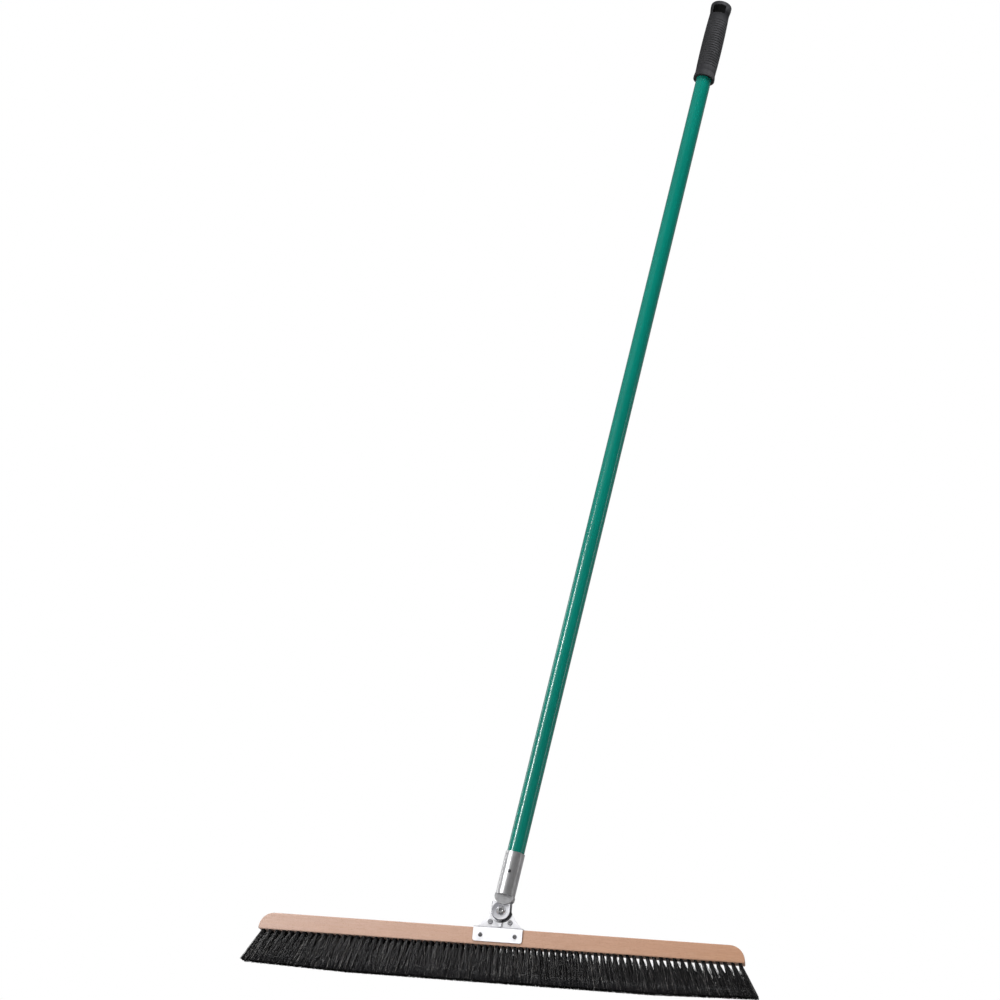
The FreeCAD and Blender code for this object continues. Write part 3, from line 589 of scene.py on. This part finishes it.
give_finish(
    metal(
        "plated_fastener",
        (0.45, 0.45, 0.47),
        (0.30, 0.46),
        (1500, 300, 1500),
        on_head,
        marks=0.4,
        dull=0.7,
        edge_radius=0.0003,
        metallic=0.4,
        # Painted shade: the sides of the rivets are painted dark.
        side_shade_colour=(0.10, 0.10, 0.11),
    ),
    "neck_rivets",
)
give_finish(
    metal(
        "plated_screw",
        (0.30, 0.30, 0.31),
        (0.28, 0.42),
        (1500, 300, 1500),
        on_head,
        marks=0.4,
        dull=0.6,
        edge_radius=0.0003,
        metallic=0.6,
        # Painted shade: the sides of the screws are painted dark.
        side_shade_colour=(0.14, 0.14, 0.15),
    ),
    "front_screws",
    "back_screws",
)
give_finish(
    metal(
        "anchor_wire",
        (0.55, 0.54, 0.52),
        (0.30, 0.50),
        (900, 900, 900),
        on_head,
        edge_radius=0.0001,
    ),
    "tuft_anchors",
)


# ---------------------------------------------------------------- Pivot
# A domed bolt with a hexagon recess, its bush, flat and spring washers and nut, in bright steel, and
# two washers of brown pressed fibre that rub on the foot and hold the handle where it is set.

give_finish(
    metal(
        "bolt_steel",
        (0.74, 0.74, 0.76),
        (0.14, 0.28),
        (1200, 260, 1200),
        on_head,
        marks=0.35,
        dull=0.7,
        edge_radius=0.0004,
        metallic=0.78,
    ),
    "pivot_bolt",
    "pivot_bush",
    "pivot_washer",
    "spring_washer",
    "pivot_nut",
)


def pressed_fibre():
    material, tree, shader = new_material("brown_pressed_fibre")
    place = on_head(tree)
    felt = noise(tree, place, (1800, 1800, 1800), detail=4.0)
    drive(
        tree,
        shader,
        base_color=ramp(tree, felt, (0.30, (0.050, 0.018, 0.010)), (0.72, (0.150, 0.060, 0.032))),
        roughness=spread(tree, felt, 0.3, 0.7, 0.62, 0.85),
        normal=bump(tree, felt, 0.00008),
    )
    return material


give_finish(pressed_fibre(), "friction_washers")


# ---------------------------------------------------------------- Socket foot
# A die-cast zinc foot, left as cast: matt grey, faintly grained, with rounded lips under the sleeve and
# brighter edges where it has rubbed. Its spigot goes up inside the handle tube.

handle_lean = math.radians(8.4)
pivot_place = (0.0, 0.0, bolt_height)


def on_handle(tree):
    """Places about the handle: metres from the bolt, with z up the handle."""
    place = add_node(tree, "TexCoord").outputs["Object"]
    turned = {"Vector": place, "Location": pivot_place, "Rotation": (0.0, handle_lean, 0.0)}
    return add_node(tree, "Mapping", turned, vector_type="TEXTURE").outputs["Vector"]


give_finish(
    metal(
        "cast_zinc",
        (0.46, 0.46, 0.47),
        (0.42, 0.60),
        (1600, 1600, 1600),
        on_handle,
        marks=0.1,
        dull=0.78,
        edge_radius=0.0006,
        relief=0.00006,
        cloud_per_metre=(160, 160, 160),
        metallic=0.6,
    ),
    "socket_foot",
)


# ---------------------------------------------------------------- Sleeve and cross rivet
# A drawn steel sleeve over the joint of foot and tube, polished along its length, and the rivet that
# pins all three together.

give_finish(
    metal(
        "drawn_steel_sleeve",
        (0.60, 0.60, 0.61),
        (0.30, 0.42),
        (1700, 1700, 26),
        on_handle,
        marks=0.12,
        dull=0.84,
        edge_radius=0.0003,
        relief=0.00001,
        metallic=0.8,
    ),
    "ferrule_sleeve",
)
give_finish(
    metal(
        "rivet_steel",
        (0.24, 0.24, 0.25),
        (0.30, 0.48),
        (1200, 1200, 1200),
        on_handle,
        marks=0.4,
        dull=0.6,
        edge_radius=0.0003,
    ),
    "cross_rivet",
)


# ---------------------------------------------------------------- Handle tube
# Thin steel tube with a baked green powder coat: glossy, with a fine orange-peel surface, rubbed a
# little paler where hands slide, and scuffed above the sleeve.

coat_green = (0.0, 0.158, 0.120)
coat_deep = (0.0, 0.132, 0.100)
coat_worn = (0.004, 0.185, 0.145)
coat_speck = (0.0, 0.05, 0.04)


def powder_coat():
    material, tree, shader = new_material("green_powder_coat")
    place = on_handle(tree)
    along = add_node(tree, "SeparateXYZ", {"Vector": place}).outputs["Z"]
    clouds = noise(tree, place, (30, 30, 6), detail=3.0)
    peel = noise(tree, place, (620, 620, 620), detail=1.0)
    specks = noise(tree, place, (2600, 2600, 2600), detail=0.0)
    rubs = noise(tree, place, (420, 420, 18), detail=3.0)
    coat = ramp(tree, clouds, (0.30, coat_deep), (0.68, coat_green))
    near_hand = spread(tree, along, 0.75, 1.20, 0.0, 0.5, smooth=True)
    near_sleeve = spread(tree, along, 0.08, 0.15, 0.55, 0.0, smooth=True)
    handled = calculate(tree, "MAXIMUM", near_hand, near_sleeve)
    worn = calculate(tree, "MULTIPLY", spread(tree, rubs, 0.50, 0.68, 0.0, 0.55), handled)
    rubbed = blend_colours(tree, worn, coat, (*coat_worn, 1.0))
    specked = blend_colours(tree, spread(tree, specks, 0.76, 0.80, 0.0, 0.4), rubbed, (*coat_speck, 1.0))
    uneven = calculate(tree, "ADD", calculate(tree, "MULTIPLY", worn, 0.5), peel)
    gloss = spread(tree, uneven, 0.35, 1.0, 0.19, 0.29)
    drive(tree, shader, base_color=specked, roughness=gloss, normal=bump(tree, peel, 0.00002, 0.3))
    shader.inputs["Specular IOR Level"].default_value = 0.62
    return material


give_finish(powder_coat(), "handle_tube")


# ---------------------------------------------------------------- Grip
# A moulded grip of soft black rubber with twenty ribs, a collar at its foot and a slot to hang it by.
# The mould left it finely matt. The crests of the ribs carry a painted highlight, strongest on the right,
# the rubbed edges are paler, and the slot is painted near black as shade.

rib_crest_radius = 0.0150
rib_valley_radius = 0.0144
slot_floor_radius = 0.0130
slot_mouth_radius = 0.0140
highlight_and_wear_rubber = (0.062, 0.062, 0.066)
slot_shade_colour = (0.003, 0.003, 0.003)


def grip_rubber():
    material, tree, shader = new_material("black_grip_rubber")
    place = on_handle(tree)
    x, y, _ = add_node(tree, "SeparateXYZ", {"Vector": place}).outputs
    y_squared = calculate(tree, "MULTIPLY", y, y)
    across = calculate(tree, "SQRT", calculate(tree, "MULTIPLY_ADD", x, x, y_squared))
    crest = spread(tree, across, rib_valley_radius, rib_crest_radius, 0.0, 1.0)
    mottle = noise(tree, place, (120, 120, 60), detail=4.0)
    grit = noise(tree, place, (3000, 3000, 3000), detail=2.0)
    rubber = ramp(tree, mottle, (0.30, (0.009, 0.009, 0.010)), (0.70, (0.016, 0.016, 0.018)))
    # Painted highlight: the crests of the ribs are paler, strongest on the right side.
    lit_side = spread(tree, x, -0.006, 0.008, 0.1, 1.0)
    lit_crest = calculate(tree, "MULTIPLY", crest, lit_side)
    crest_highlight = calculate(tree, "MULTIPLY", lit_crest, spread(tree, mottle, 0.3, 0.7, 0.5, 1.0))
    # Painted shade: the walls of the slot darken towards its floor.
    slot_shade = spread(tree, across, slot_floor_radius, slot_mouth_radius, 0.85, 0.0)
    edge, eased = worn_edges(tree, 0.0006)
    highlight_and_wear = calculate(tree, "MAXIMUM", crest_highlight, calculate(tree, "MULTIPLY", edge, 0.3))
    # The paler colour is a painted highlight on the crests and real wear on the edges.
    rubbed = blend_colours(tree, highlight_and_wear, rubber, (*highlight_and_wear_rubber, 1.0))
    drive(
        tree,
        shader,
        base_color=blend_colours(tree, slot_shade, rubbed, (*slot_shade_colour, 1.0)),
        roughness=spread(tree, calculate(tree, "MULTIPLY_ADD", highlight_and_wear, -0.5, grit), 0.0, 0.8, 0.46, 0.68),
        normal=bump(tree, grit, 0.00004, 0.7, over=eased),
    )
    shader.inputs["Specular IOR Level"].default_value = 0.3
    return material


give_finish(grip_rubber(), "handle_grip")
